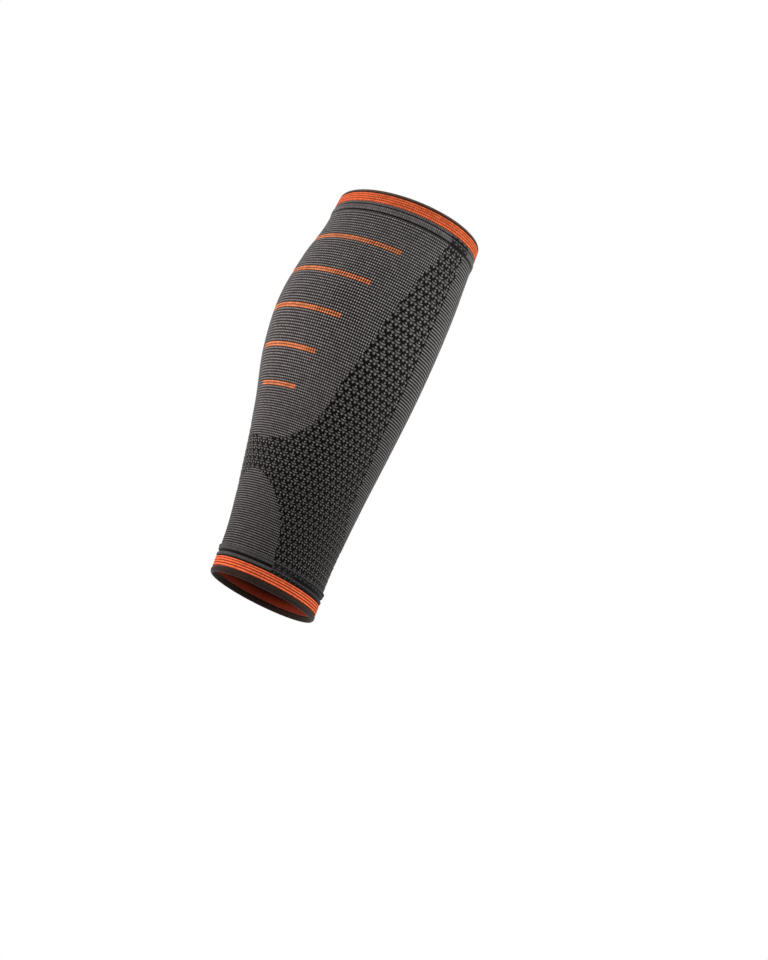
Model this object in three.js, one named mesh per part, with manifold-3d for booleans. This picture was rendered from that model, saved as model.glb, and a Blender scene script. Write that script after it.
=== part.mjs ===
// Knitted calf sleeve, worn form: a hollow tapered tube with a banded cuff at each end.
// Millimetres, +Z up towards the knee, +Y to the calf, -Y to the shin.
// The origin is on the leg's axis, level with the fullest girth of the calf.

import * as THREE from 'three';
import { mergeVertices } from 'three/addons/utils/BufferGeometryUtils.js';
import Module from 'manifold-3d';

const wasm = await Module();
wasm.setup();

// Main sizes
const SEAT_HEIGHT = 198;
const WALL = 2;
const GAP = 0.3;
const SEGMENTS = 60;
const TUBE_STEPS = 22;

// Outer form of the worn sleeve, a row for each height above the bottom edge.
// back and front are the depths from the leg's axis, halfWidth is to either side.
const SECTIONS = [
  { height: 0, back: 43.1, front: 42.9, halfWidth: 33.7 },
  { height: 38, back: 44.8, front: 42.3, halfWidth: 35.4 },
  { height: 80, back: 52.1, front: 43.6, halfWidth: 40.6 },
  { height: 123, back: 60.3, front: 45.6, halfWidth: 47.8 },
  { height: 160, back: 70.0, front: 45.3, halfWidth: 55.0 },
  { height: 198, back: 73.4, front: 47.5, halfWidth: 57.7 },
  { height: 235, back: 66.8, front: 51.4, halfWidth: 56.5 },
  { height: 263, back: 58.0, front: 53.9, halfWidth: 53.6 },
  { height: 290, back: 53.7, front: 54.8, halfWidth: 52.0 },
];

// The knit rows lie a little aslant on the leg: the slope is the rise towards the back.
const BOTTOM_SLOPE = { height: 10, degrees: 3.9 };
const TOP_SLOPE = { height: 282, degrees: -1.5 };

// Cuff rings from the ankle up: height span, how far the face swells past the sleeve's outer
// form, and how many rounded ridges run round the ring.
const RINGS = [
  { name: 'bottom_rim', from: 0, to: 4.6, swell: 0.7, ridges: 1, finish: 'edge' },
  { name: 'bottom_stripe', from: 4.9, to: 11.4, swell: 0.35, ridges: 1, finish: 'orange' },
  { name: 'bottom_welt', from: 11.7, to: 20.2, swell: 0.9, ridges: 2, finish: 'welt' },
  { name: 'top_welt', from: 272.6, to: 280.7, swell: 0.7, ridges: 1, finish: 'welt' },
  { name: 'top_stripe', from: 281.0, to: 287.8, swell: 0.35, ridges: 1, finish: 'orange' },
  { name: 'top_rim', from: 288.1, to: 290.6, swell: 0.35, ridges: 1, finish: 'edge' },
];
const RIDGE_STEPS = 3;

// Bars across the calf, from the top: mid height and reach to each side of the back's centre line.
const BARS = [
  { height: 248.5, reach: 50.5 },
  { height: 218.4, reach: 42.7 },
  { height: 188.1, reach: 34.6 },
  { height: 159.3, reach: 26.6 },
  { height: 132.9, reach: 18.6 },
];
const BAR_WIDTH = 4;
const BAR_DEPTH = 0.9;
const BAR_STEP_DEGREES = 6;
const POCKET_CLEARANCE = 1;

const FINISHES = {
  knit: new THREE.MeshStandardMaterial({ color: 0x55534f, roughness: 0.9, metalness: 0 }),
  welt: new THREE.MeshStandardMaterial({ color: 0x4b4947, roughness: 0.9, metalness: 0 }),
  orange: new THREE.MeshStandardMaterial({ color: 0xee6434, roughness: 0.8, metalness: 0 }),
  edge: new THREE.MeshStandardMaterial({ color: 0x322b27, roughness: 0.85, metalness: 0 }),
};

const { degToRad, inverseLerp, lerp, clamp } = THREE.MathUtils;

// Rate of change of one column at a row, from the rows beside it.
function columnSlope(column, row) {
  const below = SECTIONS[Math.max(row - 1, 0)];
  const above = SECTIONS[Math.min(row + 1, SECTIONS.length - 1)];
  return (above[column] - below[column]) / (above.height - below.height);
}

// One column of the table at any height, along a smooth curve through the rows.
function sizeAt(column, height) {
  const within = clamp(height, SECTIONS[0].height, SECTIONS.at(-1).height);
  const upper = Math.max(1, SECTIONS.findIndex((row) => row.height >= within));
  const low = SECTIONS[upper - 1];
  const high = SECTIONS[upper];
  const span = high.height - low.height;
  const t = (within - low.height) / span;
  const startPull = columnSlope(column, upper - 1) * span;
  const endPull = columnSlope(column, upper) * span;
  const rise = high[column] - low[column];
  const bend = startPull * (1 - t) - endPull * t + rise * (2 * t - 1);
  return low[column] + rise * t + t * (1 - t) * bend;
}

// A point of the sleeve: the angle runs from the back's centre line towards -X,
// and the offset stands out from the outer form, or in if negative.
function sleevePoint(degrees, height, offset) {
  const angle = degToRad(degrees);
  const depth = sizeAt(Math.cos(angle) >= 0 ? 'back' : 'front', height) + offset;
  const x = -(sizeAt('halfWidth', height) + offset) * Math.sin(angle);
  const y = depth * Math.cos(angle);
  const along = clamp(inverseLerp(BOTTOM_SLOPE.height, TOP_SLOPE.height, height), 0, 1);
  const slope = Math.tan(degToRad(lerp(BOTTOM_SLOPE.degrees, TOP_SLOPE.degrees, along)));
  return new THREE.Vector3(x, y, height - SEAT_HEIGHT + slope * y);
}

// A closed outline of [height, offset] points carried through the given angles.
// A full turn closes on itself, and a shorter run gets a cap at each end.
function sweepOutline(outline, angles, fullTurn) {
  const positions = angles.flatMap((degrees) =>
    outline.flatMap(([height, offset]) => sleevePoint(degrees, height, offset).toArray()));
  const count = outline.length;
  const index = [];
  const strips = fullTurn ? angles.length : angles.length - 1;
  for (let strip = 0; strip < strips; strip += 1) {
    const near = strip * count;
    const far = ((strip + 1) % angles.length) * count;
    for (let corner = 0; corner < count; corner += 1) {
      const next = (corner + 1) % count;
      index.push(near + corner, far + corner, near + next);
      index.push(near + next, far + corner, far + next);
    }
  }
  if (!fullTurn) {
    const last = (angles.length - 1) * count;
    for (let corner = 1; corner < count - 1; corner += 1) {
      index.push(0, corner, corner + 1);
      index.push(last, last + corner + 1, last + corner);
    }
  }
  const geometry = new THREE.BufferGeometry();
  geometry.setAttribute('position', new THREE.Float32BufferAttribute(positions, 3));
  geometry.setIndex(index);
  return geometry;
}

const ROUND = Array.from({ length: SEGMENTS }, (_, step) => (step * 360) / SEGMENTS);

// The tube's wall between the two cuffs.
function tubeGeometry() {
  const foot = RINGS.find((ring) => ring.name === 'bottom_welt').to + GAP;
  const head = RINGS.find((ring) => ring.name === 'top_welt').from - GAP;
  const heights = Array.from({ length: TUBE_STEPS + 1 }, (_, step) => lerp(foot, head, step / TUBE_STEPS));
  const outside = heights.map((height) => [height, 0]);
  const inside = heights.map((height) => [height, -WALL]).reverse();
  return sweepOutline([...outside, ...inside], ROUND, true);
}

// A cuff ring: flat inside, with rounded ridges on its outer face.
function ringGeometry({ from, to, swell, ridges }) {
  const steps = ridges * RIDGE_STEPS;
  const outside = Array.from({ length: steps + 1 }, (_, step) => {
    const share = step / steps;
    return [lerp(from, to, share), swell * Math.abs(Math.sin(Math.PI * ridges * share))];
  });
  return sweepOutline([...outside, [to, -WALL], [from, -WALL]], ROUND, true);
}

// A strip across the back of the calf, as deep and as wide as given.
function barGeometry({ height, reach }, width, deep, proud) {
  const steps = Math.ceil((2 * reach) / BAR_STEP_DEGREES);
  const angles = Array.from({ length: steps + 1 }, (_, step) => lerp(-reach, reach, step / steps));
  const low = height - width / 2;
  const high = height + width / 2;
  return sweepOutline([[low, proud], [high, proud], [high, -deep], [low, -deep]], angles, false);
}

// The pocket that a bar lies in, open to the outside, with a small gap all round it.
function pocketGeometry({ height, reach }) {
  const sideGap = THREE.MathUtils.radToDeg(GAP / sizeAt('halfWidth', height));
  const pocket = { height, reach: reach + sideGap };
  return barGeometry(pocket, BAR_WIDTH + 2 * GAP, BAR_DEPTH + GAP, POCKET_CLEARANCE);
}

function toSolid(geometry) {
  const merged = mergeVertices(geometry);
  const vertProperties = new Float32Array(merged.attributes.position.array);
  const triVerts = new Uint32Array(merged.index.array);
  return new wasm.Manifold(new wasm.Mesh({ numProp: 3, vertProperties, triVerts }));
}

function toGeometry(solid) {
  const mesh = solid.getMesh();
  const geometry = new THREE.BufferGeometry();
  geometry.setAttribute('position', new THREE.BufferAttribute(mesh.vertProperties, mesh.numProp));
  geometry.setIndex(new THREE.BufferAttribute(mesh.triVerts, 1));
  return geometry;
}

const sleeve = new THREE.Group();

function addPiece(name, geometry, finish) {
  geometry.computeVertexNormals();
  const piece = new THREE.Mesh(geometry, FINISHES[finish]);
  piece.name = name;
  sleeve.add(piece);
}

let wall = toSolid(tubeGeometry());
for (const bar of BARS) {
  wall = wall.subtract(toSolid(pocketGeometry(bar)));
}
addPiece('sleeve_tube', toGeometry(wall), 'knit');

for (const ring of RINGS) {
  addPiece(ring.name, ringGeometry(ring), ring.finish);
}

BARS.forEach((bar, order) => {
  addPiece(`calf_bar_${order + 1}`, barGeometry(bar, BAR_WIDTH, BAR_DEPTH, 0), 'orange');
});

export default sleeve;
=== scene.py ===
# %% [markdown]
# # A knitted calf sleeve
#
# The object is a pull-on compression sleeve: a tapered knitted tube, open at both ends, with an elastic cuff
# at each end and five orange bars across the calf. The solids that are loaded here give its true form with
# plain walls. This lesson turns those walls into knitting, with loops, holes and ridges as real geometry and
# the yarn itself as node materials.

import math
from collections import namedtuple

import bpy
import numpy as np
from mathutils import Matrix, Vector


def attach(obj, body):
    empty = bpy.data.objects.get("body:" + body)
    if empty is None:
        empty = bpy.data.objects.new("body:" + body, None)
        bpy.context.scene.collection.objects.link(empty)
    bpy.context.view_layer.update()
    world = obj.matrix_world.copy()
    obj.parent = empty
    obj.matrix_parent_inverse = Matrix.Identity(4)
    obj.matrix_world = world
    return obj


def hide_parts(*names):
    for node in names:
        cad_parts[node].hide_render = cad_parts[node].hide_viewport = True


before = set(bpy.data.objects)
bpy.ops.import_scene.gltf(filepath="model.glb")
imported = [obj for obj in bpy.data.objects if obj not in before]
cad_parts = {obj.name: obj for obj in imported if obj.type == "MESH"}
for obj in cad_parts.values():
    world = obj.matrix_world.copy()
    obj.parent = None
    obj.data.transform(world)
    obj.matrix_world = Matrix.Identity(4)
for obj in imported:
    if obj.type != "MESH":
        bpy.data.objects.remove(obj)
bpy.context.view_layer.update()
print("solids:", ", ".join(sorted(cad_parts)))

# %% [markdown]
# ## The worn form
#
# A worn sleeve is wide at the calf and narrow at its lower end, and its section is a rounded oval, deeper
# behind than in front. It could be sculpted, but a short table of sections is exact and easy to change. A
# smooth curve runs through each column of the table. Every later piece asks one function for a place on the
# sleeve, so that all of them meet.

# %% Sections of the sleeve, in millimetres
MM = 0.001
SEAT_HEIGHT = 198
WALL = 2
SECTIONS = {
    "height": [0, 38, 80, 123, 160, 198, 235, 263, 290],
    "back": [43.1, 44.8, 52.1, 60.3, 70.0, 73.4, 66.8, 58.0, 53.7],
    "front": [42.9, 42.3, 43.6, 45.6, 45.3, 47.5, 51.4, 53.9, 54.8],
    "half_width": [33.7, 35.4, 40.6, 47.8, 55.0, 57.7, 56.5, 53.6, 52.0],
}
ROW_SLOPE = {"height": [10, 282], "degrees": [3.9, -1.5]}
print("sections:", len(SECTIONS["height"]))


# %% A smooth curve through a short table
def smooth_curve(at, knots, values):
    """The value of a table at any place, along a smooth curve through its rows."""
    knots = np.array(knots, float)
    values = np.array(values, float)
    rows = np.arange(len(knots))
    before = np.maximum(rows - 1, 0)
    after = np.minimum(rows + 1, rows[-1])
    slopes = (values[after] - values[before]) / (knots[after] - knots[before])
    inside = np.clip(at, knots[0], knots[-1])
    high = np.clip(np.searchsorted(knots, inside), 1, rows[-1])
    low = high - 1
    span = knots[high] - knots[low]
    t = (inside - knots[low]) / span
    rise = values[high] - values[low]
    bend = slopes[low] * span * (1 - t) - slopes[high] * span * t + rise * (2 * t - 1)
    return values[low] + rise * t + t * (1 - t) * bend


def section(column, height):
    return smooth_curve(height, SECTIONS["height"], SECTIONS[column])


print("half width at the seat's height, mm:", round(float(section("half_width", SEAT_HEIGHT)), 1))


# %% A place on the sleeve
def sleeve_points(angle, height, offset):
    """Points in metres. The angle runs from the back's centre line, the offset stands out from the wall."""
    depth = np.where(np.cos(angle) >= 0, section("back", height), section("front", height)) + offset
    x = -(section("half_width", height) + offset) * np.sin(angle)
    y = depth * np.cos(angle)
    slope = np.tan(np.radians(np.interp(height, ROW_SLOPE["height"], ROW_SLOPE["degrees"])))
    z = height - SEAT_HEIGHT + slope * y
    return np.stack(np.broadcast_arrays(x, y, z), -1) * MM


print("fullest point of the calf, m:", np.round(sleeve_points(0.0, float(SEAT_HEIGHT), 0.0), 4))

# %% [markdown]
# ## Rows and columns of loops
#
# A tube knitted on a round machine keeps the same number of loops in every row, called a course. The columns,
# called wales, run up the tube, so the loops are wider at the calf than near the lower cuff. The loops of a
# row are spaced evenly, which is done by measuring the outline at that height and sharing it out. Each loop
# then gets a small square of faces, enough for a hole at its corner and a crown at its middle.

# %% Heights of the courses, counted from the lowest bar
COURSES = {
    "course": [-68, -60, -45, -30, -15, 0, 14, 28, 42, 56, 67],
    "height": [20.35, 33.9, 57.9, 82.2, 107.1, 132.9, 159.3, 188.1, 218.4, 248.5, 272.45],
}
LOWEST = COURSES["course"][0]
HIGHEST = COURSES["course"][-1]


def course_height(course):
    return smooth_curve(course, COURSES["course"], COURSES["height"])


print("courses:", HIGHEST - LOWEST)

# %% Angles of the wales, counted from the back's centre line
WALES = 216
PROBES = 361


def wale_angles(heights, wales):
    """The angle of each wale at each height, so that the loops of a row are equally wide."""
    probe = np.linspace(0, math.pi, PROBES)
    outline = sleeve_points(probe[None, :], heights[:, None], 0.0)[..., :2]
    steps = np.linalg.norm(np.diff(outline, axis=1), axis=2)
    walked = np.pad(np.cumsum(steps, axis=1), ((0, 0), (1, 0)))
    half_turn = wales / (WALES / 2)
    rows = [np.interp(np.abs(half_turn), row / row[-1], probe) for row in walked]
    return np.sign(half_turn) * np.array(rows)


print("wales:", WALES)

# %% The grid of loops and the fine grid of points in them
FINE = 3
COLUMNS = WALES * FINE

fine_course = np.linspace(LOWEST, HIGHEST, (HIGHEST - LOWEST) * FINE + 1)
fine_wale = np.arange(COLUMNS) / FINE - WALES / 2
fine_height = course_height(fine_course)
fine_angle = wale_angles(fine_height, fine_wale)
loop_course = np.arange(LOWEST, HIGHEST)
loop_wale = np.arange(WALES) - WALES // 2
loop_height = course_height(loop_course + 0.5)
loop_angle = wale_angles(loop_height, loop_wale + 0.5)
print("loops:", loop_angle.size, "fine points:", fine_angle.size)

# %% [markdown]
# ## How far the loops are pulled open
#
# Where the tube is worn wide its loops are pulled apart, and holes show between them. Where it is narrow they
# close up into lines. A map of the stretch could be painted by hand, but the width of every loop is known, so
# the opening is measured. Along the middle of the back the loops lie closer together than at the sides.

# %% Opening of the loops, from the width of a loop in millimetres
TIGHT_LOOP = 1.1
OPEN_LOOP = 1.8
BACK_CLOSED = {"wale": [0, 6, 16], "share": [0.6, 0.7, 1.0]}

loop_steps = np.diff(sleeve_points(loop_angle, loop_height[:, None], 0.0), axis=1)
row_width = np.linalg.norm(loop_steps, axis=2).mean(axis=1) / MM
row_opening = np.clip((row_width - TIGHT_LOOP) / (OPEN_LOOP - TIGHT_LOOP), 0, 1)


def opening(course):
    """Nothing where the loops of a row are narrow, one where they are pulled widest."""
    return np.interp(course, loop_course + 0.5, row_opening)


def share_at_back(wale):
    """The share of a row's opening that is left near the middle of the back."""
    return np.interp(np.abs(wale), BACK_CLOSED["wale"], BACK_CLOSED["share"])


three_rows = [0, row_opening.argmax(), -1]
print("opening of the lowest, widest and highest row:", np.round(row_opening[three_rows], 2))

# %% [markdown]
# ## Zones of the knit
#
# The machine changes its stitch as it goes round. The calf and the heel are plain meshed panels, the shin is
# ribbed, and a honeycomb band with deep pores winds down between them and across the back in a narrow neck.
# Five orange bars lie across the calf. The zones could be cut with curves, but knitting only changes from one
# loop to the next. So their edges are a few angles read off, and each loop belongs to one zone, which
# makes the edges run in steps as they do in knitting.

# %% Edges of the zones, as degrees from the back's centre line at a few heights
CALF_EDGE = {
    "height": [95.5, 96.5, 100, 105, 110, 115, 125, 140, 160, 180, 200, 220, 240, 260, 275],
    "angle": [0, 10, 25, 31, 37, 40.5, 44.5, 48, 52.5, 57.5, 61, 65, 70, 77.5, 82],
}
HEEL_EDGE = {
    "height": [14, 25, 35, 45, 50, 55, 60, 65, 70, 73, 74.5],
    "angle": [50.5, 48.5, 46.5, 43, 40, 36, 30, 25, 17, 9, 0],
}
SHIN_EDGE = {
    "height": [46, 50, 55, 60, 65, 70, 80, 90, 110, 130, 150, 170, 190, 210, 230, 250, 270, 275],
    "angle": [180, 150, 130, 118, 112, 108.5, 103, 100.5, 97.5, 94, 91, 90, 90.5, 91.5, 94, 97.5, 101, 102],
}


def knit_zones(angle, height):
    """The name of the zone at each angle, in radians, and height."""
    turn = np.degrees(np.abs(angle))
    tall = np.broadcast_to(height, turn.shape)
    calf_edge, heel_edge, shin_edge = (
        np.interp(tall, edge["height"], edge["angle"]) for edge in (CALF_EDGE, HEEL_EDGE, SHIN_EDGE)
    )
    calf = (tall > CALF_EDGE["height"][0]) & (turn < calf_edge)
    heel = (tall < HEEL_EDGE["height"][-1]) & (turn < heel_edge)
    shin = (tall > SHIN_EDGE["height"][0]) & (turn > shin_edge)
    return np.select([calf, heel, shin], ["calf", "heel", "shin"], "honeycomb")


print("zone at the middle of the back, at the seat's height:", knit_zones(np.zeros(1), SEAT_HEIGHT)[0])

# %% Which loop belongs to which zone
BARS = {"course": [56, 42, 28, 14, 0], "reach": [50.5, 42.7, 34.6, 26.6, 18.6]}

zone = knit_zones(loop_angle, loop_height[:, None]).astype("U12")
for number, (course, reach) in enumerate(zip(BARS["course"], BARS["reach"]), start=1):
    in_rows = np.abs(loop_course + 0.5 - course) < 1
    in_reach = np.abs(np.degrees(loop_angle)) < reach
    zone[in_rows[:, None] & in_reach] = f"bar_{number}"
print("loops in each zone:", dict(zip(*np.unique(zone, return_counts=True))))

# %% [markdown]
# ## The honeycomb stitch
#
# The honeycomb is a small repeat, four wales wide and three courses high, and each repeat is moved on by two
# wales from the one below. In it a strand sags between two small holes and dips between its loops. A plain
# row lies under the strand, and single beads sit on that row and over the strand. It could be charted loop by
# loop, but domes of a named place and size stay round at any scale. The sums below take numbers, for the
# mesh, and shader values, for the finish, so the two always agree.

# %% The repeat of the honeycomb, counted in loops from one of its holes
REPEAT = {"wales": 4, "courses": 3}
FIRST_HOLE = {"wale": 2.83, "course": 1.28}
LOWEST_ROW = -1.45
STRAND = {"wale": 2.0, "course": 0.22, "lift": 0.16, "half_width": 1.8, "half_height": 0.46, "crown": 0.76}
STRAND_DIP = 1.2
ROW_BELOW = {"course": -0.5, "half_height": 0.55, "crown": 0.3}
BEADS = [
    {"wale": 0.1, "course": -0.7, "half_width": 0.66, "half_height": 0.5},
    {"wale": 2.05, "course": -0.95, "half_width": 0.64, "half_height": 0.5},
    {"wale": 2.05, "course": 1.15, "half_width": 0.62, "half_height": 0.4},
]
print("beads in a repeat:", len(BEADS))


# %% Height of the honeycomb
def higher(first, second):
    return 0.5 * (first + second + abs(first - second))


def nearest(steps):
    """Steps across the cloth, counted from whichever repeat is nearest."""
    half = REPEAT["wales"] / 2
    return (steps + half) % REPEAT["wales"] - half


def strand_height(across, up):
    """The strand that sags between two holes, with a dip between its loops."""
    along = nearest(across - STRAND["wale"])
    curve = along * along
    off = up - STRAND["course"] - curve * STRAND["lift"]
    ends = curve * curve * curve * (1 / STRAND["half_width"] ** 6)
    in_loop = (along + 0.5) % 1 - 0.5
    whole = STRAND["crown"] - off * off * (1 / STRAND["half_height"] ** 2) - ends
    return whole - in_loop * in_loop * STRAND_DIP


def honeycomb(wale, course):
    """Height of the honeycomb: one on the crown of a bead, nothing or less in the holes."""
    rows = course - (FIRST_HOLE["course"] + LOWEST_ROW)
    up = rows % REPEAT["courses"]
    moved_on = (rows - up) * (REPEAT["wales"] / 2 / REPEAT["courses"])
    across = wale - FIRST_HOLE["wale"] + moved_on
    up = up + LOWEST_ROW
    off = up - ROW_BELOW["course"]
    row_height = ROW_BELOW["crown"] - off * off * (1 / ROW_BELOW["half_height"] ** 2)
    height = higher(strand_height(across, up), row_height)
    for bead in BEADS:
        x = nearest(across - bead["wale"]) * (1 / bead["half_width"])
        y = (up - bead["course"]) * (1 / bead["half_height"])
        height = higher(height, 1 - x * x - y * y)
    return height


print("height in a hole:", round(honeycomb(FIRST_HOLE["wale"], FIRST_HOLE["course"]), 2))

# %% [markdown]
# ## Relief of the stitches
#
# Plain knitting has a small hole at each corner where four loops meet. The ribbed shin shows its courses as
# round ridges. A bar is two rows of loops with a groove between them, and its columns part where the cloth is
# pulled open. A displacement texture could push all this in, but it would need far more faces. Here the depth
# below the wall is worked out at each point of the fine grid.

# %% How deep each stitch lies, in millimetres
PORE_DEPTH = 0.9
PIT_DEPTH = 0.6
COURSE_DEPTH = 0.15
RIB_DEPTH = 0.4
BAR_GROOVE = 0.2
BAR_DEPTH = {"closed": 0.15, "apart": 0.5}
BAR_CLOSED = 0.5
BAR_APART = 0.8


def blend(low, high, share):
    """From low to high as the share goes from nothing to one."""
    return low + (high - low) * share


def gap(place):
    """One midway between two loops, nothing at the middle of a loop."""
    return 0.5 + 0.5 * np.cos(2 * math.pi * place)


def pore_depth(course, wale):
    return np.clip(1 - honeycomb(wale, course), 0, 1)


course_grid, wale_grid = np.meshgrid(fine_course, fine_wale, indexing="ij")
pits = gap(course_grid) * gap(wale_grid)
plain_relief = -PIT_DEPTH * pits - COURSE_DEPTH * gap(course_grid)
rib_relief = -RIB_DEPTH * gap(course_grid) - COURSE_DEPTH * pits
pore_relief = -PORE_DEPTH * pore_depth(course_grid, wale_grid) - COURSE_DEPTH * pits
apart = np.clip((opening(course_grid) - BAR_CLOSED) / (BAR_APART - BAR_CLOSED), 0, 1)
bar_depth = blend(BAR_DEPTH["closed"], BAR_DEPTH["apart"], apart)
bar_relief = -bar_depth * gap(wale_grid) - BAR_GROOVE * gap(course_grid)
print("deepest honeycomb pore, mm:", round(float(-pore_relief.min()), 2))

# %% Each zone takes its own relief
fine_zone = np.repeat(np.repeat(zone, FINE, axis=0), FINE, axis=1)
fine_zone = np.vstack([fine_zone, fine_zone[-1:]])
in_zone = [fine_zone == "honeycomb", fine_zone == "shin", np.char.startswith(fine_zone, "bar")]
relief = np.select(in_zone, [pore_relief, rib_relief, bar_relief], plain_relief)
print("mean depth of the cloth, mm:", round(float(-relief.mean()), 2))

# %% [markdown]
# ## Cloth from loops
#
# A patch of cloth is a closed shell: the knitted face outside, one smooth face for each loop inside and a
# narrow wall along its cut edges. Modifiers could thicken a sheet, but they would copy the fine relief to the
# inside and double the face count. The loops are known, so the faces are written straight from the grid.

# %% Points of the knitted face and of the lining
LINING_TONE = 0.6

face_points = sleeve_points(fine_angle, fine_height[:, None], relief).reshape(-1, 3)
corner_height = course_height(np.arange(LOWEST, HIGHEST + 1))
corner_angle = wale_angles(corner_height, loop_wale)
lining_points = sleeve_points(corner_angle, corner_height[:, None], -WALL).reshape(-1, 3)
cloth_points = np.vstack([face_points, lining_points])
# The sunk mask is nothing on the face and a darker tone on the lining; the finishes paint it as shade.
cloth_sunk = np.repeat([0.0, LINING_TONE], [len(face_points), len(lining_points)])


def face_id(row, column):
    return row * COLUMNS + column % COLUMNS


def lining_id(row, column):
    return len(face_points) + row * WALES + column % WALES


def squares(row, column):
    """Rows and columns of the four corners of each face, anticlockwise from outside."""
    return row[:, None] + [0, 0, 1, 1], column[:, None] + [0, 1, 1, 0]


print("cloth points:", len(cloth_points))

# %% Walls along the cut edges
# Each side of a loop: the step to its neighbour, then the side's first and last corner as (row, column).
LOOP_SIDES = [
    ((-1, 0), (0, 1), (0, 0)),
    ((1, 0), (1, 0), (1, 1)),
    ((0, -1), (0, 0), (1, 0)),
    ((0, 1), (1, 1), (0, 1)),
]


def edge_walls(loops, first_wale):
    """Corner ids and places in loops of a wall on each side where a chosen loop has no neighbour."""
    padded = np.pad(loops, ((1, 1), (0, 0)))
    walk = np.arange(FINE + 1)
    ids = []
    places = []
    for step, first, last in LOOP_SIDES:
        neighbour = np.roll(padded, (-step[0], -step[1]), axis=(0, 1))[1:-1]
        row, column = np.nonzero(loops & ~neighbour)
        column = (column - first_wale) % WALES + first_wale
        rows = (row[:, None] + first[0]) * FINE + (last[0] - first[0]) * walk
        columns = (column[:, None] + first[1]) * FINE + (last[1] - first[1]) * walk
        back_rows = rows[:, [-1, 0]] // FINE
        back_columns = columns[:, [-1, 0]] // FINE
        ids.append(np.hstack([face_id(rows, columns), lining_id(back_rows, back_columns)]))
        across = np.hstack([columns / FINE, back_columns])
        upward = np.hstack([rows / FINE, back_rows])
        places.append(np.stack([across, upward], -1))
    return np.vstack(ids), np.vstack(places)


print("walls round the calf's loops:", len(edge_walls(zone == "calf", 0)[0]))

# %% [markdown]
# ## What each mesh carries
#
# A finish has to know where it is on the cloth. So each mesh carries how deep a point is sunk, which the
# finishes paint as shade, with a darker tone on the lining, and where a corner lies, counted in loops, with
# how far the loops are open there. The map for a bake is laid out in loops as well, with the lining below the
# face. An unwrap would cut it into islands, but loops are a grid already. The walls get crisp edges, because
# smooth shading across them would leave a dark rim round every patch.

# %% Crisp edges round the walls
def crease_last_faces(mesh, count):
    """Smooth shading all over, apart from a crisp edge round each of the last faces."""
    mesh.shade_smooth()
    corners = sum(face.loop_total for face in mesh.polygons[len(mesh.polygons) - count:])
    edge_of = np.empty(len(mesh.loops), int)
    mesh.loops.foreach_get("edge_index", edge_of)
    crisp = np.zeros(len(mesh.edges), bool)
    crisp[edge_of[len(edge_of) - corners:]] = True
    mesh.attributes.new("sharp_edge", "BOOLEAN", "EDGE").data.foreach_set("value", crisp)


print("corners of a wall:", FINE + 3)

# %% Places on the cloth and on the map
FACE_SHARE = 0.8
LINING_SHARE = 0.15


def knit_places(places):
    """Wale, course and opening of each corner, counted from the back's centre line and the lowest bar."""
    counted = places - [WALES / 2, -LOWEST]
    return np.column_stack([counted, opening(counted[:, 1]) * share_at_back(counted[:, 0])])


def map_places(places, on_face):
    """A place on the map for each corner: the face in its upper part, the lining and walls below."""
    low = places.min(axis=0)
    share = (places - low) / (places.max(axis=0) - low)
    share[on_face, 1] = 1 - FACE_SHARE + FACE_SHARE * share[on_face, 1]
    share[~on_face, 1] *= LINING_SHARE
    return share


print("share of the map for the face:", FACE_SHARE)


# %% A piece that rides on the sleeve
def new_piece(name, points, faces, places, on_face, sunk_points, wall_count):
    """A mesh object with its knit attributes and its map."""
    mesh = bpy.data.meshes.new(name)
    mesh.from_pydata(points, [], faces)
    crease_last_faces(mesh, wall_count)
    sunk = mesh.attributes.new("sunk", "FLOAT", "POINT")
    sunk.data.foreach_set("value", sunk_points.astype(np.float32))
    knit = mesh.attributes.new("knit", "FLOAT_VECTOR", "CORNER")
    knit.data.foreach_set("vector", knit_places(places).astype(np.float32).ravel())
    layout = mesh.uv_layers.new(name="OFBake")
    layout.uv.foreach_set("vector", map_places(places, on_face).astype(np.float32).ravel())
    mesh.validate()
    piece = bpy.data.objects.new(name, mesh)
    bpy.context.scene.collection.objects.link(piece)
    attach(piece, "root")
    return piece


print("wale, course and opening at the first corner:", np.round(knit_places(np.zeros((1, 2)))[0], 2).tolist())


# %% A patch of cloth
def cloth_patch(name, loops):
    """A closed piece of cloth that holds the chosen loops."""
    empty = np.flatnonzero(~loops.any(axis=0))
    first_wale = (empty[-1] + 1) % WALES if len(empty) else 0
    row, column = np.nonzero(np.kron(loops, np.ones((FINE, FINE), bool)))
    face_rows, face_columns = squares(row, (column - first_wale * FINE) % COLUMNS + first_wale * FINE)
    row, column = np.nonzero(loops)
    corners = squares(row, (column - first_wale) % WALES + first_wale)
    back_rows, back_columns = (corner[:, ::-1] for corner in corners)
    wall_ids, wall_places = edge_walls(loops, first_wale)
    corner_ids = [face_id(face_rows, face_columns), lining_id(back_rows, back_columns), wall_ids]
    places = [
        np.stack([face_columns, face_rows], -1) / FINE,
        np.stack([back_columns, back_rows], -1),
        wall_places,
    ]
    used, renumbered = np.unique(np.concatenate([ids.ravel() for ids in corner_ids]), return_inverse=True)
    faces = []
    start = 0
    for ids in corner_ids:
        faces += renumbered[start:start + ids.size].reshape(ids.shape).tolist()
        start += ids.size
    on_face = np.arange(start) < corner_ids[0].size
    flat_places = np.vstack([place.reshape(-1, 2) for place in places])
    return new_piece(name, cloth_points[used], faces, flat_places, on_face, cloth_sunk[used], len(wall_ids))


print("faces of one loop:", FINE * FINE, "outside and 1 inside")

# %% [markdown]
# ## Shader maths in plain Python
#
# A finish is a small program over the surface. Wiring its nodes by hand hides the sums, so one class wraps an
# output socket and gives it Python's signs: adding two of them adds a Math node. Every other kind of node
# comes from one method, which takes the node's type, its settings and what feeds its sockets.

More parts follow.
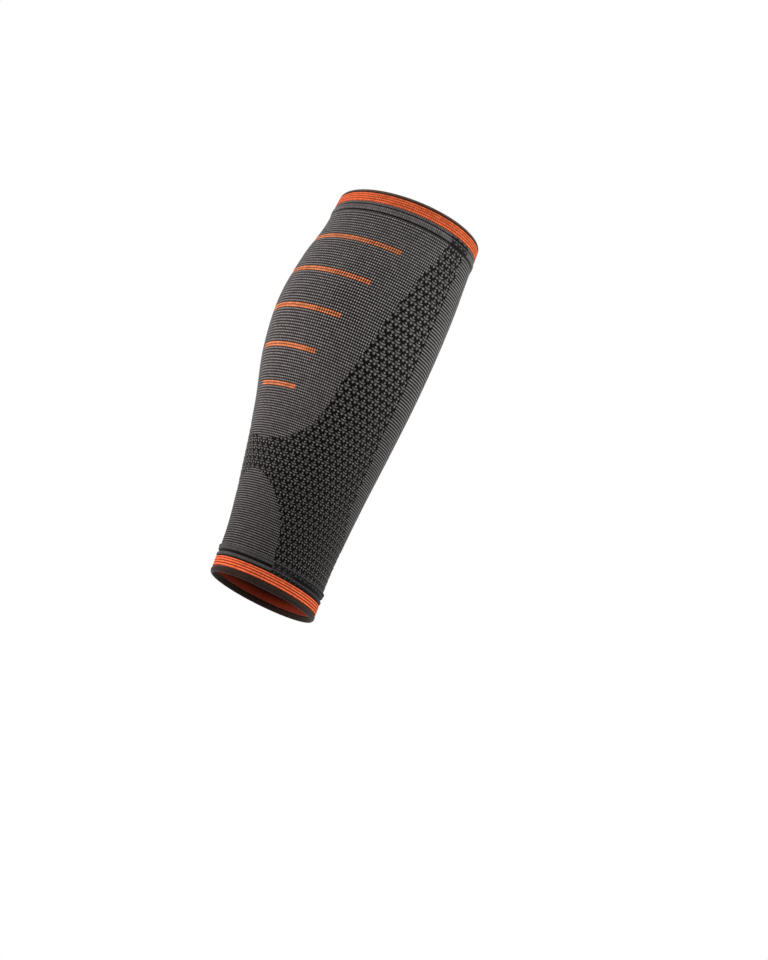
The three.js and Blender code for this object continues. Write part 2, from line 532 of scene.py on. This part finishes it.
# %% A value that varies over a surface
class Value:
    """A number that varies, held as a node's output socket."""

    def __init__(self, nodes, socket):
        self.nodes = nodes
        self.socket = socket

    def math(self, operation, *others):
        return self.nodes.math(operation, self, *others)

    def __add__(self, other):
        return self.math("ADD", other)

    def __sub__(self, other):
        return self.math("SUBTRACT", other)

    def __rsub__(self, other):
        return self.nodes.math("SUBTRACT", other, self)

    def __mul__(self, other):
        return self.math("MULTIPLY", other)

    def __mod__(self, other):
        return self.math("FLOORED_MODULO", other)

    def __abs__(self):
        return self.math("ABSOLUTE")

    __radd__ = __add__
    __rmul__ = __mul__

    def over(self, other):
        return self.math("MAXIMUM", other)

    def ramp(self, low, high):
        sockets = {"Value": self, "From Min": low, "From Max": high}
        return self.nodes.node("ShaderNodeMapRange", {"interpolation_type": "SMOOTHSTEP"}, sockets)


print("a value also knows:", ", ".join(name for name in vars(Value) if not name.startswith("_")))

# %% A node tree, with the one method that adds nodes
# Where a Mix node has its sockets when it mixes colours: three inputs, then the output.
MIX_FACTOR, MIX_FIRST, MIX_SECOND, MIX_COLOUR = 0, 6, 7, 2


class Nodes:
    """A node tree under construction."""

    def __init__(self, tree):
        self.tree = tree

    def node(self, kind, settings, sockets, output=0):
        made = self.tree.nodes.new(kind)
        for name, setting in settings.items():
            setattr(made, name, setting)
        for name, source in sockets.items():
            self.feed(made.inputs[name], source)
        return Value(self, made.outputs[output])

    def feed(self, socket, source):
        if isinstance(source, Value):
            self.tree.links.new(source.socket, socket)
        elif socket.type == "RGBA":
            socket.default_value = (*source, 1)
        else:
            socket.default_value = source

    def math(self, operation, *inputs):
        return self.node("ShaderNodeMath", {"operation": operation}, dict(enumerate(inputs)))

    def mix(self, first, second, share):
        sockets = {MIX_FACTOR: share, MIX_FIRST: first, MIX_SECOND: second}
        return self.node("ShaderNodeMix", {"data_type": "RGBA"}, sockets, MIX_COLOUR)

    def noise(self, place, scale, detail=2.0):
        return self.node("ShaderNodeTexNoise", {}, {"Vector": place, "Scale": scale, "Detail": detail})


print("a node tree knows:", ", ".join(name for name in vars(Nodes) if not name.startswith("_")))


# %% A finish, which is the node tree of a material
class Finish(Nodes):
    """A material whose even values are set on the shader, and whose varying ones are fed to it."""

    def __init__(self, name, constants):
        self.material = bpy.data.materials.new(name)
        self.material.use_nodes = True
        super().__init__(self.material.node_tree)
        self.shader = self.tree.nodes["Principled BSDF"]
        for socket, number in constants.items():
            self.shader.inputs[socket].default_value = number

    def wear(self, **varying):
        for socket, source in varying.items():
            self.feed(self.shader.inputs[socket.replace("_", " ")], source)
        return self.material


print("materials that came with the solids:", len(bpy.data.materials))

# %% [markdown]
# ## Yarn
#
# All the yarn is a soft textured thread: matt, slightly fuzzy, brighter where it is seen edge on. The elastic
# stripes are less fuzzy. A picture of knitting could be laid over the mesh, but it wouldn't follow the loops.
# Here the places counted in loops drive everything, so holes and strands stay on the loops wherever they are
# stretched. The strands of each loop lean together like a letter V, which is the face of a plain stitch, and
# each loop has a tone slightly of its own.

# %% Thread shared by every finish
CLOTH = {"Specular IOR Level": 0.05, "Sheen Weight": 0.17, "Sheen Roughness": 0.4}
ELASTIC = {**CLOTH, "Sheen Weight": 0.04}
Stitch = namedtuple("Stitch", "wale course open sunk")


def shade_of(colour, share):
    return tuple(channel * share for channel in colour)


def between(place):
    """One midway between two loops, nothing at the middle of a loop."""
    return 0.5 + 0.5 * (place * (2 * math.pi)).math("COSINE")


def read_stitch(finish):
    """The place on the cloth, as a vector and as a named stitch."""
    place = finish.node("ShaderNodeAttribute", {"attribute_name": "knit"}, {}, "Vector")
    parts = [finish.node("ShaderNodeSeparateXYZ", {}, {"Vector": place}, axis) for axis in "XYZ"]
    # How deep the point is sunk, which the finishes paint as shade.
    sunk = finish.node("ShaderNodeAttribute", {"attribute_name": "sunk"}, {}, "Fac")
    return place, Stitch(*parts, sunk)


print("a stitch holds:", ", ".join(Stitch._fields))

# %% Colour and strands of a finish
LOOP_SHARE = 0.4
PATCH_SCALE = 0.9
TONE_RAMP = (0.2, 0.8)
TONE_SPREAD = 0.22
STRANDS = 2
STRAND_LEAN = 1.6
FIBRE_SCALE = 9.0
FIBRE_DETAIL = 4.0
FIBRE_SHARE = 0.4
LEAST_ROUGH = 0.78
FIBRE_ROUGH = 0.18
THREAD_RELIEF = {"Strength": 0.45, "Distance": 0.3 * MM}


def yarn_colour(finish, place, light):
    """A light colour whose tone drifts over the cloth and changes a little from loop to loop."""
    loop = finish.node("ShaderNodeVectorMath", {"operation": "FLOOR"}, {0: place})
    loop_tone = finish.node("ShaderNodeTexWhiteNoise", {"noise_dimensions": "2D"}, {"Vector": loop}, "Value")
    tone = finish.noise(place, PATCH_SCALE) * (1 - LOOP_SHARE) + loop_tone * LOOP_SHARE
    duller = shade_of(light, 1 - TONE_SPREAD)
    brighter = shade_of(light, 1 + TONE_SPREAD)
    return finish.mix(duller, brighter, tone.ramp(*TONE_RAMP))


def knit_finish(name, light, dark, shading, tight=1.0, cloth=CLOTH):
    """Yarn painted dark with shade where shading says so. Narrow loops keep the share of light called tight.
    """
    finish = Finish(name, cloth)
    place, stitch = read_stitch(finish)
    shade = shading(stitch)
    yarn = yarn_colour(finish, place, light)
    yarn = finish.mix(yarn, finish.mix(yarn, dark, 1 - tight), 1 - stitch.open)
    strands = between(stitch.course * STRANDS + abs(stitch.wale % 1 - 0.5) * STRAND_LEAN)
    fibres = finish.noise(place, FIBRE_SCALE, FIBRE_DETAIL)
    height = (strands * (1 - FIBRE_SHARE) + fibres * FIBRE_SHARE) * (1 - shade)
    bump = finish.node("ShaderNodeBump", {}, {"Height": height, **THREAD_RELIEF})
    # The shade between the loops is painted into the colour here.
    colour = finish.mix(yarn, dark, shade)
    return finish.wear(Base_Color=colour, Roughness=LEAST_ROUGH + fibres * FIBRE_ROUGH, Normal=bump)


print("height of the thread's relief, mm:", THREAD_RELIEF["Distance"] / MM)

# %% [markdown]
# ## Grey finishes
#
# The real sleeve has one grey yarn, but each stitch shows it lighter or darker and lets more or less shade
# in between its loops, and that shade is painted into the colour on top of what the relief casts. One grey
# with one dark mask would flatten them. So each zone has its own tone of grey and a short sum for its painted
# shade: dark holes and lines for the plain mesh, grooves for the ribs, and the depth of the honeycomb for its
# pores. Where loops are pulled open the lines between columns grow dark, and where they are tight the rows
# show most.


# %% Painted shade between the grey loops
def plain_shading(stitch):
    """Painted shade in holes where four loops meet, between rows, and between columns of open loops."""
    holes = (between(stitch.wale) * between(stitch.course)).ramp(0.0, 0.1)
    rows = between(stitch.course).ramp(0.05, blend(0.7, 0.95, stitch.open))
    columns = between(stitch.wale).ramp(0.05, 0.95)
    holes = holes * blend(0.75, 1.0, stitch.open)
    rows = rows * blend(0.97, 0.92, stitch.open)
    columns = columns * blend(0.2, 0.95, stitch.open)
    return holes.over(rows).over(columns).over(stitch.sunk)


def rib_shading(stitch):
    """Painted shade in the grooves between the ribs, wider where the loops are tight."""
    grooves = between(stitch.course).ramp(0.0, blend(0.2, 0.5, stitch.open))
    return (grooves * blend(0.94, 1.0, between(stitch.wale))).over(stitch.sunk)


def pore_shading(stitch):
    """Painted shade in the pores, following the depth of the honeycomb."""
    depth = 1 - honeycomb(stitch.wale, stitch.course)
    return depth.ramp(0.05, blend(0.9, 1.1, stitch.open)).over(stitch.sunk)


def welt_shading(stitch):
    """Painted shade in the grooves and pores, with fainter painted lines between rows and columns."""
    holes = stitch.sunk.ramp(0.2, 0.95)
    return holes.over(between(stitch.course) * 0.6).over(between(stitch.wale) * 0.7)


grey_shadings = [plain_shading, rib_shading, pore_shading, welt_shading]
print("grey shades:", ", ".join(shading.__name__ for shading in grey_shadings))

# %% Make the grey finishes
GREY = (0.33, 0.305, 0.302)
RIB_GREY = (0.2, 0.188, 0.185)
PORE_GREY = (0.192, 0.181, 0.175)
WELT_GREY = (0.19, 0.176, 0.174)
# BLACK is the colour of the painted shade in holes, grooves, pores and seams.
BLACK = (0.003, 0.0027, 0.0027)
TIGHT = 0.385
TIGHT_RIBS = 0.7
TIGHT_PORES = 0.66

finishes = {
    "plain": knit_finish("grey_plain_knit", GREY, BLACK, plain_shading, TIGHT),
    "rib": knit_finish("grey_rib_knit", RIB_GREY, BLACK, rib_shading, TIGHT_RIBS),
    "pores": knit_finish("grey_honeycomb_knit", PORE_GREY, BLACK, pore_shading, TIGHT_PORES),
    "welt": knit_finish("grey_welt_knit", WELT_GREY, BLACK, welt_shading, TIGHT),
}
print("grey finishes:", ", ".join(finishes))

# %% [markdown]
# ## Orange and dark finishes
#
# The bars, the stripes of the cuffs and the bound edges are knitted from orange and dark brown yarn. They
# could share one orange, but the bars are a lighter yarn than the stripes. A bar has painted shade along its
# edges and a softer painted line between its two rows, and breaks up into a ladder with small holes where its
# loops are apart, painted dark with shade. The lower stripe has painted shade in lines between its rows, the
# upper one in rows of dots, and the edges only in fine ribs.


# %% Painted shade between the orange and the brown loops
def bar_shading(stitch):
    """Painted shade: dark edges, a softer middle line, and columns and holes where the loops are apart."""
    apart = stitch.open.ramp(BAR_CLOSED, BAR_APART)
    # Every bar is centred on an even course, so this is one along its middle and nothing at its edges.
    middle = between(stitch.course * 0.5)
    rows = between(stitch.course).ramp(0.2, 0.8) * blend(0.95, blend(0.75, 0.55, apart), middle)
    columns = between(stitch.wale).ramp(0.25, 0.75) * blend(0.25, 0.75, apart)
    holes = (between(stitch.wale) * between(stitch.course)).ramp(0.0, 0.3) * blend(0.3, 1.0, apart)
    return holes.over(rows).over(columns).over(stitch.sunk)


def line_shading(stitch):
    """Painted shade in lines between rows, and fainter between slanted strands."""
    lines = between(stitch.course).ramp(0.2, 0.85) * 0.95
    strands = between(stitch.wale + stitch.course) * 0.3
    return lines.over(strands).over(stitch.sunk)


def dotted_shading(stitch):
    """Painted shade in lines between rows, darkest between loops, so that they break up into dots."""
    dots = between(stitch.course).ramp(0.15, 0.75) * blend(0.4, 1.0, between(stitch.wale))
    return dots.over(stitch.sunk)


def edge_shading(stitch):
    """Faint ribs, two for each wale, with painted shade between them."""
    return (between(stitch.wale * 2) * 0.4).over(stitch.sunk)


bright_shadings = [bar_shading, line_shading, dotted_shading, edge_shading]
print("orange and brown shades:", ", ".join(shading.__name__ for shading in bright_shadings))

# %% Make the orange and the dark finishes
BAR_ORANGE = (1.0, 0.31, 0.13)
# BAR_GAP and RED_BROWN are the colours of the painted shade in a bar's gaps and between a stripe's rows.
BAR_GAP = (0.015, 0.004, 0.002)
TIGHT_BARS = 0.32
BOTTOM_ORANGE = (0.88, 0.156, 0.056)
TOP_ORANGE = (0.66, 0.124, 0.042)
RED_BROWN = (0.1, 0.008, 0.003)
# TOP_BROWN is lighter than BOTTOM_BROWN, partly as painted light on the upper edge and painted shade on the
# lower one.
BOTTOM_BROWN = (0.029, 0.017, 0.012)
TOP_BROWN = (0.1, 0.06, 0.045)

finishes["bar"] = knit_finish("orange_bar_knit", BAR_ORANGE, BAR_GAP, bar_shading, TIGHT_BARS)
finishes["lines"] = knit_finish("orange_lined_knit", BOTTOM_ORANGE, RED_BROWN, line_shading, cloth=ELASTIC)
finishes["dots"] = knit_finish("orange_dotted_knit", TOP_ORANGE, RED_BROWN, dotted_shading, cloth=ELASTIC)
finishes["low edge"] = knit_finish("brown_rolled_edge", BOTTOM_BROWN, BLACK, edge_shading)
finishes["high edge"] = knit_finish("brown_bound_edge", TOP_BROWN, BLACK, edge_shading)
print("all finishes:", ", ".join(finishes))

# %% [markdown]
# ## Panels
#
# The tube is one piece of cloth on the real sleeve. It could be one mesh with several materials. It is made
# here in panels that follow its zones, because each zone has its own stitch and finish. The panels share
# their edge points, so no seam shows. The honeycomb and the shin are split into a right and a left half to
# keep each mesh light.

# %% Make the panels of the tube
right_half = np.broadcast_to(loop_wale >= 0, zone.shape)
PANELS = [
    ("calf_panel", zone == "calf", "plain"),
    ("heel_panel", zone == "heel", "plain"),
    ("shin_right", (zone == "shin") & right_half, "rib"),
    ("shin_left", (zone == "shin") & ~right_half, "rib"),
    ("honeycomb_right", (zone == "honeycomb") & right_half, "pores"),
    ("honeycomb_left", (zone == "honeycomb") & ~right_half, "pores"),
]


def dress(piece, finish, node):
    piece.data.materials.append(finishes[finish])
    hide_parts(node)
    piece.data.calc_loop_triangles()
    print(piece.name, "triangles:", len(piece.data.loop_triangles))


panels = {}
for name, loops, finish in PANELS:
    panels[name] = cloth_patch(name, loops)
    dress(panels[name], finish, "sleeve_tube")

# %% [markdown]
# ## Bars
#
# Each bar is two courses of orange yarn, knitted in across the calf, and the top bar is the longest. It could
# be a strip laid over the cloth, but that would stand proud. A bar takes the place of the grey loops instead,
# so it is a patch of cloth like any other.

# %% Make the bars across the calf
for number in range(1, len(BARS["course"]) + 1):
    bar = cloth_patch(f"bar_knit_{number}", zone == f"bar_{number}")
    dress(bar, "bar", f"calf_bar_{number}")

# %% [markdown]
# ## Cuffs
#
# Each cuff is three rings of elastic knitting: a grey welt that is turned double, an orange stripe of four
# rows and a dark bound edge, which is rolled at the lower end. A curve with a bevel could carry such a ring
# round, but only with an even section. Here an outline is carried round the sleeve point by point, so its
# face can have a ridge for each row and dip between loops, and the bound edges are round all over.

# %% Outlines of the rings, in millimetres
ROW_RISE = 0.2
GROOVE = -0.25
FLAT_STEPS = 30
INSIDE_POINTS = 3
ROUND_STEPS = 24
ROUND_ROWS = 4


def flat_outline(rows):
    """Heights, offsets and row counts up a ring's outside and down its inside, and how many are outside."""
    heights = np.linspace(rows[0], rows[-1], FLAT_STEPS + 1)
    counts = np.interp(heights, rows, np.arange(len(rows)))
    offsets = GROOVE + ROW_RISE * np.abs(np.sin(math.pi * counts))
    heights = np.concatenate([heights, np.linspace(rows[-1], rows[0], INSIDE_POINTS)])
    offsets = np.concatenate([offsets, np.full(INSIDE_POINTS, -float(WALL))])
    counts = np.concatenate([counts, np.full(INSIDE_POINTS, counts[-1])])
    return heights, offsets, counts, FLAT_STEPS + 1


def round_outline(low, high, swell):
    """The same for an edge that is rolled round."""
    turn = np.linspace(-math.pi / 2, 3 * math.pi / 2, ROUND_STEPS, endpoint=False)
    heights = (low + high) / 2 + (high - low) / 2 * np.sin(turn)
    offsets = (swell - WALL) / 2 + (swell + WALL) / 2 * np.cos(turn)
    return heights, offsets, np.linspace(0, ROUND_ROWS, ROUND_STEPS), ROUND_STEPS


print("points in an outline, flat and round:", FLAT_STEPS + 1 + INSIDE_POINTS, ROUND_STEPS)

# %% Carry an outline round the sleeve
LOOP_DIP = 0.12
SUNK_DEPTH = 0.3


def knit_ring(name, outline, first, relief_at):
    """A closed ring. relief_at tells how far its face stands out and how deep it is sunk."""
    heights, offsets, counts, outside = outline
    count = len(heights)
    courses = first + counts
    angle = wale_angles(heights, fine_wale)
    stands, deep = relief_at(heights[:, None], fine_wale[None, :], angle)
    outer = (np.arange(count) < outside)[:, None]
    raised = stands - SUNK_DEPTH * deep - LOOP_DIP * gap(fine_wale)
    offset = offsets[:, None] + np.where(outer, raised, 0)
    points = sleeve_points(angle, heights[:, None], offset).reshape(-1, 3)
    row, column = (index.ravel() for index in np.indices((count, COLUMNS)))
    rows, columns = squares(row, column)
    faces = ((rows % count) * COLUMNS + columns % COLUMNS).tolist()
    upward = np.append(courses, courses[0])[rows] - LOWEST
    places = np.stack([columns / FINE, upward], -1).reshape(-1, 2)
    tone = np.where(outer, deep, LINING_TONE)
    return new_piece(name, points, faces, places, np.full(len(places), True), tone.ravel(), 0)


print("faces in a flat ring:", (FLAT_STEPS + 1 + INSIDE_POINTS) * COLUMNS)

# %% [markdown]
# ## Ridges of the cuffs
#
# The stripes are even bands. The bound edges have a sunk seam, painted dark with shade, where they meet a
# stripe, and the lower one has painted shade underneath. The welts have soft ridges with grooves between them
# that are painted dark with shade, and the honeycomb runs on into them from the tube, with the ridges over
# it.
# Each of these could be modelled on its own, but they share one outline. So a short function for each tells
# how far its face stands out and how deep it is sunk, which the finishes also paint as shade.

# %% Relief of stripes and bound edges
STRIPE_SWELL = 0.45
# The seams are sunk a little and painted dark with shade, and UNDER_SHADE paints shade under the lower edge.
BOTTOM_SEAM = 4.5
TOP_SEAM = 288.2
SEAM_CORE = 1.3
SEAM_REACH = 0.8
UNDER_SHADE = {"height": [0.3, 3.2], "share": [0.6, 0.0]}


def stripe_relief(height, wale, angle):
    return np.full(angle.shape, STRIPE_SWELL), np.zeros(angle.shape)


def edge_relief(seam):
    """A bound edge: painted shade in its seam with the stripe, and under the sleeve's lower end."""

    def relief_at(height, wale, angle):
        line = np.clip(SEAM_CORE - np.abs(height - seam) / SEAM_REACH, 0, 1)
        under = np.interp(height, UNDER_SHADE["height"], UNDER_SHADE["share"])
        return np.zeros(angle.shape), np.broadcast_to(np.maximum(line, under), angle.shape)

    return relief_at


print("stripes stand out, mm:", STRIPE_SWELL)

# %% Relief of welts
BOTTOM_RIDGES = [(12.5, 14.8, 0.7), (16.6, 18.9, 0.7), (18.9, 20.4, 1.0)]
TOP_RIDGES = [(271.6, 272.9, 0.4), (274.2, 278.1, 0.8), (279.0, 280.9, 0.3)]
BOTTOM_PORES = (50.5, 180)
TOP_PORES = (82, 104)
GROOVE_FADE = 0.25
PORE_SWELL = 0.5
PORE_RIDGE = 1.3
PORE_SHARE = 0.86
RIDGED_PORES = {"angle": [50, 82], "share": [0.2, 1.0]}
WELT_COURSES = {"height": [11.55, 20.35, 272.45, 280.85], "course": [-73.2, -68, 67, 70.85]}


def welt_relief(ridges, pore_edges):
    """Ridges, each with its low, high and swell, and pores where the honeycomb runs on between two angles."""

    def relief_at(height, wale, angle):
        stands = np.zeros(angle.shape)
        for low, high, swell in ridges:
            across = (2 * height - low - high) / (high - low)
            stands = np.maximum(stands, swell * np.sqrt(np.clip(1 - across**2, 0, 1)))
        turn = np.degrees(np.abs(angle))
        in_pores = (turn > pore_edges[0]) & (turn < pore_edges[1])
        # Grooves between the ridges, and the pores, are sunk and painted dark with shade.
        grooves = 1 - np.minimum(stands / GROOVE_FADE, 1)
        even_course = np.interp(height, WELT_COURSES["height"], WELT_COURSES["course"])
        ridged = np.interp(turn, RIDGED_PORES["angle"], RIDGED_PORES["share"])
        pores = PORE_SHARE * pore_depth(even_course, wale)
        deep = np.where(in_pores, np.maximum(pores, grooves * ridged), grooves)
        over_pores = blend(PORE_SWELL, stands * PORE_RIDGE, ridged)
        return np.where(in_pores, over_pores, stands), deep

    return relief_at


print("ridges in the lower and upper welt:", len(BOTTOM_RIDGES), len(TOP_RIDGES))

# %% Make the six rings, from the heights where their rows meet
BOTTOM_RIM = {"low": 0.3, "high": 4.75, "swell": 0.7}
BOTTOM_STRIPE = [4.75, 6.65, 8.45, 10.2, 11.55]
BOTTOM_WELT = [11.55, 12.6, 14.7, 16.9, 18.5, 20.35]
TOP_WELT = [272.45, 273.7, 276.0, 278.4, 280.0, 280.85]
TOP_STRIPE = [280.85, 282.9, 284.7, 286.4, 287.95]
TOP_RIM = {"low": 287.95, "high": 290.6, "swell": 0.35}

below_tube = LOWEST - len(BOTTOM_WELT) + 1
low_welt_relief = welt_relief(BOTTOM_RIDGES, BOTTOM_PORES)
high_welt_relief = welt_relief(TOP_RIDGES, TOP_PORES)
RINGS = [
    ("bottom_rim", round_outline(**BOTTOM_RIM), 0, edge_relief(BOTTOM_SEAM), "low edge", "dark_edge"),
    ("bottom_stripe", flat_outline(BOTTOM_STRIPE), 0, stripe_relief, "lines", "orange_yarn"),
    ("bottom_welt", flat_outline(BOTTOM_WELT), below_tube, low_welt_relief, "welt", "grey_welt"),
    ("top_welt", flat_outline(TOP_WELT), HIGHEST, high_welt_relief, "welt", "grey_welt"),
    ("top_stripe", flat_outline(TOP_STRIPE), 0, stripe_relief, "dots", "orange_yarn"),
    ("top_rim", round_outline(**TOP_RIM), 0, edge_relief(TOP_SEAM), "high edge", "dark_edge"),
]

for node, outline, first, relief_at, finish, slot in RINGS:
    ring = knit_ring(f"{node}_knit", outline, first, relief_at)
    dress(ring, finish, node)

# %% [markdown]
# ## The cloth's own size
#
# The sleeve was knitted smaller than it is worn: its girth stretches by about a quarter, while its length
# stays. Its flat size could be guessed, but the loops give it. For each panel, the area that it would have if
# its loops were let go and laid out flat is worked out.

# %% Flat area of every sheet of cloth
GIRTH_STRETCH = 1.25

corner_steps = np.diff(sleeve_points(corner_angle, corner_height[:, None], 0.0), axis=1)
loop_width = np.linalg.norm(corner_steps, axis=2).mean(axis=1)[:-1] / GIRTH_STRETCH
loop_tall = np.diff(corner_height) * MM


def declare_sheet(loops):
    flat_rows = loops.sum(axis=1) * loop_width
    area = (flat_rows * loop_tall).sum()


for name, loops, finish in PANELS:
    declare_sheet(loops)

# %% [markdown]
# ## Floor
#
# The sleeve keeps its worn form in the air, so the pale floor lies well below it. A plane would show its far
# edge, and a curved studio sweep would need to be very large. A disc of paper that fades out towards its rim
# runs into the white round it without an edge.

# %% Floor, in metres
FLOOR_HEIGHT = -0.7
FLOOR_REACH = 1.5
FLOOR_SOLID = 0.3
FLOOR_SIDES = 128
PAPER = (0.7, 0.7, 0.7)
PAPER_MOTTLE = 0.94
PAPER_SCALE = 3.0

bpy.ops.mesh.primitive_circle_add(
    vertices=FLOOR_SIDES, radius=FLOOR_REACH, fill_type="NGON", location=(0, 0, FLOOR_HEIGHT)
)
floor = bpy.context.object
floor.name = "floor"
paper = Finish("pale_floor", {"Roughness": 0.9, "Specular IOR Level": 0.1})
on_floor = paper.node("ShaderNodeTexCoord", {}, {}, "Object")
mottled = paper.mix(PAPER, shade_of(PAPER, PAPER_MOTTLE), paper.noise(on_floor, PAPER_SCALE))
from_middle = paper.node("ShaderNodeVectorMath", {"operation": "LENGTH"}, {0: on_floor}, "Value")
floor.data.materials.append(paper.wear(Base_Color=mottled, Alpha=from_middle.ramp(FLOOR_REACH, FLOOR_SOLID)))

# %% [markdown]
# ## Light
#
# Light comes from all round, as in a white studio, with one large soft lamp behind the calf panel, slightly
# warm, and a white one in front of the shin panels. A sky image could light it too, but two lamps and an even
# white are easier to balance. The white that the camera sees is a little brighter than the white that gives
# the light, so the ground stays clean while the cloth isn't washed out.

# %% White studio
WHITE = (1, 1, 1)
STUDIO_LIGHT = 0.8
BACKDROP = 1.0

world = bpy.data.worlds.new("white_studio")
world.use_nodes = True
studio = Nodes(world.node_tree)
all_round = world.node_tree.nodes["Background"]
studio.feed(all_round.inputs["Color"], WHITE)
studio.feed(all_round.inputs["Strength"], STUDIO_LIGHT)
backdrop = studio.node("ShaderNodeBackground", {}, {"Color": WHITE, "Strength": BACKDROP})
seen = studio.node("ShaderNodeLightPath", {}, {}, "Is Camera Ray")
light_or_white = {"Fac": seen, 1: Value(studio, all_round.outputs["Background"]), 2: backdrop}
surface = world.node_tree.nodes["World Output"].inputs["Surface"]
studio.feed(surface, studio.node("ShaderNodeMixShader", {}, light_or_white))
bpy.context.scene.world = world
bpy.context.scene.view_settings.view_transform = "Standard"
print("light from all round:", STUDIO_LIGHT)

# %% Two soft lamps
LAMPS = [
    {"name": "calf_lamp", "at": (0.7, 1.05, -0.35), "size": 0.8, "watts": 19, "colour": (1, 0.93, 0.9)},
    {"name": "shin_lamp", "at": (-1.0, -0.65, 0.8), "size": 0.8, "watts": 17, "colour": WHITE},
]

for lamp in LAMPS:
    light = bpy.data.lights.new(lamp["name"], "AREA")
    light.energy = lamp["watts"]
    light.color = lamp["colour"]
    light.size = lamp["size"]
    holder = bpy.data.objects.new(lamp["name"], light)
    holder.location = lamp["at"]
    holder.rotation_euler = (-Vector(lamp["at"])).to_track_quat("-Z", "Y").to_euler()
    bpy.context.scene.collection.objects.link(holder)
    print(lamp["name"], "distance, m:", round(holder.location.length, 2))

# %% [markdown]
# ## Camera
#
# The camera stands low, behind and to one side, and is rolled, so that the sleeve leans across the picture.
# It could be turned by its three angles, but a point to stand at, a point to look at and a roll are easier to
# read, and they give the camera's three axes directly.

# %% Camera
EYE = Vector((-0.7935, 0.7765, -0.3226))
AIM = Vector((-0.0287, -0.0414, -0.0877))
ROLL = math.radians(21.05)
LENS = 60.67

back = (EYE - AIM).normalized()
right = (-back).cross(Vector((0, 0, 1))).normalized()
up = right.cross(-back)
side = math.cos(ROLL) * right + math.sin(ROLL) * up
top = -math.sin(ROLL) * right + math.cos(ROLL) * up
camera = bpy.data.objects.new("camera", bpy.data.cameras.new("camera"))
camera.data.lens = LENS
turned = Matrix((side, top, back)).transposed().to_4x4()
camera.matrix_world = Matrix.Translation(EYE) @ turned
bpy.context.scene.collection.objects.link(camera)
bpy.context.scene.camera = camera
print("camera distance, m:", round((EYE - AIM).length, 3))

# %% [markdown]
# ## Size
#
# The dressed sleeve has to be as large as its solids.
